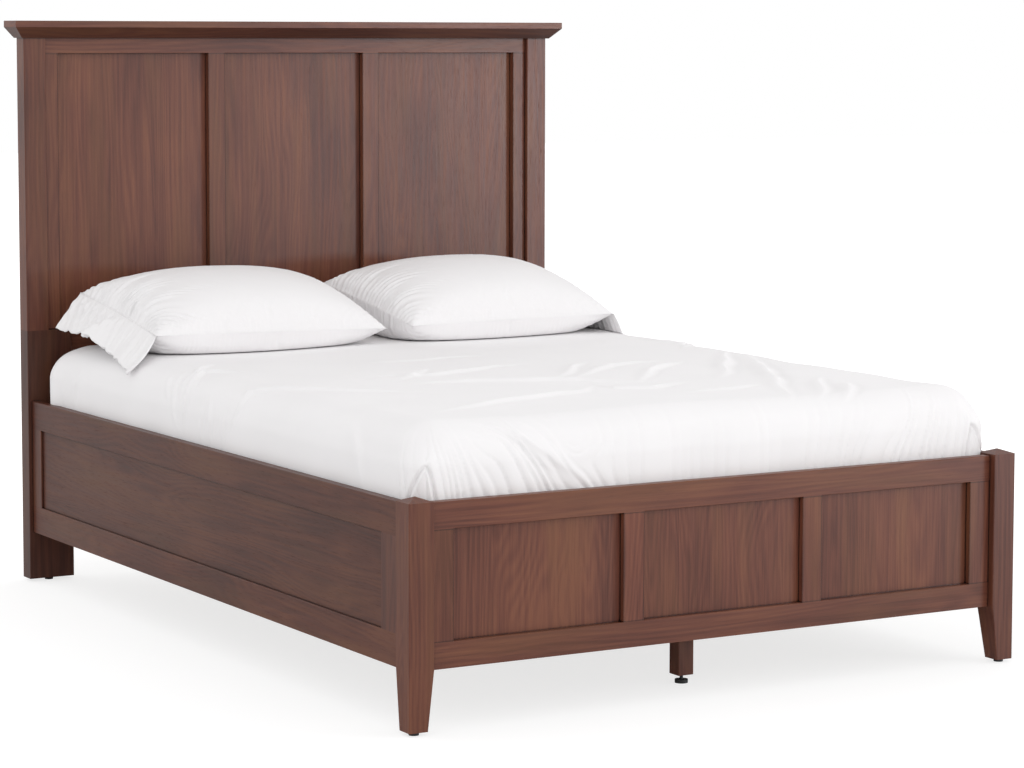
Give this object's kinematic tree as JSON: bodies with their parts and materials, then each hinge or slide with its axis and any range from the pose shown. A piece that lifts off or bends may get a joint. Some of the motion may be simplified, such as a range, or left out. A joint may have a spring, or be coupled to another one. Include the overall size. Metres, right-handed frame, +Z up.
{
  "type": "panel bed",
  "caption": "Wooden panel bed with a tall panelled headboard, low panelled footboard, framed side rails and slats, dressed with mattress and pillows.",
  "frame": {"origin": "centre of the bed's footprint, on the floor", "axes": "+X to the right for someone at the footboard who looks at the headboard, +Y from the footboard to the headboard, +Z up"},
  "size_m": [1.669, 2.191, 1.4954],
  "materials": {
    "wood_upright_grain": "satin",
    "wood_cross_grain": "satin",
    "wood_lengthwise_grain": "satin",
    "slat_wood": "matte",
    "dowel_wood": "matte",
    "zinc_steel": "satin",
    "black_plastic": "matte",
    "mattress_ticking": "matte",
    "sheet_cotton": "matte",
    "pillow_cotton": "matte"
  },
  "bodies": {
    "bed_frame": {"centre_beam": "slat_wood", "centre_leg_1": "wood_upright_grain", "centre_leg_2": "wood_upright_grain", "centre_leg_3": "wood_upright_grain", "corner_glides": "black_plastic", "crown_backing_strip": "wood_cross_grain", "crown_cap": "wood_cross_grain", "crown_front_moulding": "wood_cross_grain", "crown_return_moulding_left": "wood_cross_grain", "crown_return_moulding_right": "wood_cross_grain", "footboard_bottom_rail": "wood_cross_grain", "footboard_mullion_left": "wood_upright_grain", "footboard_mullion_right": "wood_upright_grain", "footboard_panel_centre": "wood_upright_grain", "footboard_panel_left": "wood_upright_grain", "footboard_panel_right": "wood_upright_grain", "footboard_post_left": "wood_upright_grain", "footboard_post_right": "wood_upright_grain", "footboard_stile_left": "wood_upright_grain", "footboard_stile_right": "wood_upright_grain", "footboard_top_rail": "wood_cross_grain", "headboard_dowels": "dowel_wood", "headboard_leg_left": "wood_upright_grain", "headboard_leg_right": "wood_upright_grain", "headboard_lower_board": "wood_cross_grain", "headboard_mullion_left": "wood_upright_grain", "headboard_mullion_right": "wood_upright_grain", "headboard_panel_centre": "wood_upright_grain", "headboard_panel_left": "wood_upright_grain", "headboard_panel_right": "wood_upright_grain", "headboard_post_left": "wood_upright_grain", "headboard_post_right": "wood_upright_grain", "headboard_stile_left": "wood_upright_grain", "headboard_stile_right": "wood_upright_grain", "headboard_top_rail": "wood_cross_grain", "leg_bolts": "zinc_steel", "leg_inserts": "zinc_steel", "plate_screws": "zinc_steel", "post_slot_plates": "zinc_steel", "rail_hook_plates": "zinc_steel", "side_rail_bottom_left": "wood_lengthwise_grain", "side_rail_bottom_right": "wood_lengthwise_grain", "side_rail_foot_stile_left": "wood_upright_grain", "side_rail_foot_stile_right": "wood_upright_grain", "side_rail_head_stile_left": "wood_upright_grain", "side_rail_head_stile_right": "wood_upright_grain", "side_rail_panel_left": "wood_lengthwise_grain", "side_rail_panel_right": "wood_lengthwise_grain", "side_rail_top_left": "wood_lengthwise_grain", "side_rail_top_right": "wood_lengthwise_grain", "slat_ledger_left": "slat_wood", "slat_ledger_right": "slat_wood", "slats": "slat_wood"},
    "mattress": {"mattress": "mattress_ticking", "fitted_sheet": "sheet_cotton"},
    "left_pillow": {"pillow_left": "pillow_cotton"},
    "right_pillow": {"pillow_right": "pillow_cotton"},
    "leveller_near_foot": {"leveller_1": "black_plastic"},
    "leveller_middle": {"leveller_2": "black_plastic"},
    "leveller_near_head": {"leveller_3": "black_plastic"}
  },
  "joints": [
    {"name": "mattress_lift", "type": "slide", "parent": "bed_frame", "child": "mattress", "axis": [0, 0, 1], "range_m": [0, 0.4]},
    {"name": "left_pillow_lift", "type": "slide", "parent": "mattress", "child": "left_pillow", "axis": [0, 0, 1], "range_m": [0, 0.3]},
    {"name": "right_pillow_lift", "type": "slide", "parent": "mattress", "child": "right_pillow", "axis": [0, 0, 1], "range_m": [0, 0.3]},
    {"name": "leveller_near_foot_screw", "type": "slide", "parent": "bed_frame", "child": "leveller_near_foot", "axis": [0, 0, 1], "range_m": [-0.01, 0.0115]},
    {"name": "leveller_middle_screw", "type": "slide", "parent": "bed_frame", "child": "leveller_middle", "axis": [0, 0, 1], "range_m": [-0.01, 0.0115]},
    {"name": "leveller_near_head_screw", "type": "slide", "parent": "bed_frame", "child": "leveller_near_head", "axis": [0, 0, 1], "range_m": [-0.01, 0.0115]}
  ]
}
